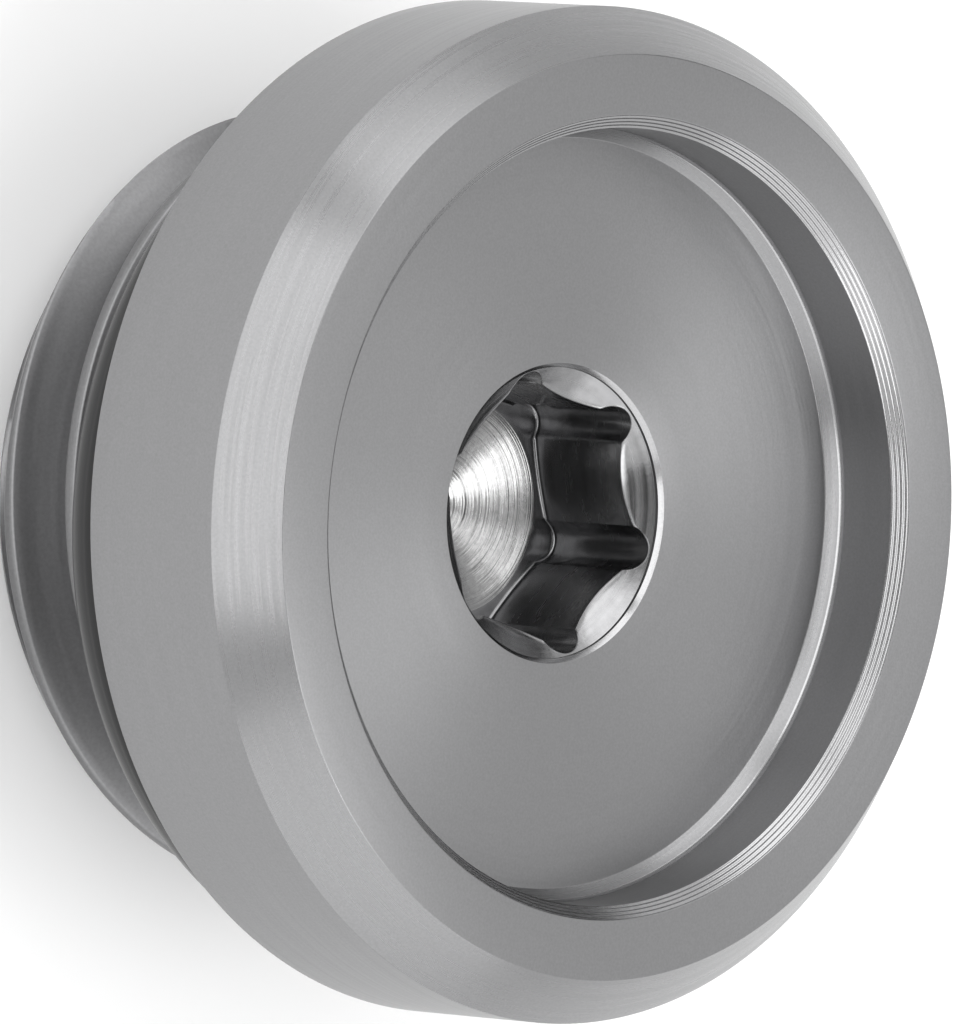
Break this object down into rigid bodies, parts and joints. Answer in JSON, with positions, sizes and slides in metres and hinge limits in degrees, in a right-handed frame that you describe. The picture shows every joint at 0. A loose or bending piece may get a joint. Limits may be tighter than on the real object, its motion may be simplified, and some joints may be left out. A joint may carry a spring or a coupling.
{
  "type": "oil filler plug",
  "caption": "Screw plug with a flat round head, a recessed face with a six-lobed drive socket, a coarse thread and a round rubber sealing ring.",
  "frame": {"origin": "middle of the thread's end face", "axes": "+Z along the thread's axis, out through the head; +X towards the side on which the sealing ring stands out furthest"},
  "size_m": [0.028, 0.028, 0.015],
  "materials": {
    "body_metal": "satin turned",
    "ring_rubber": "matt moulded"
  },
  "bodies": {
    "root": {"plug_body": "body_metal", "sealing_ring": "ring_rubber"}
  },
  "joints": []
}
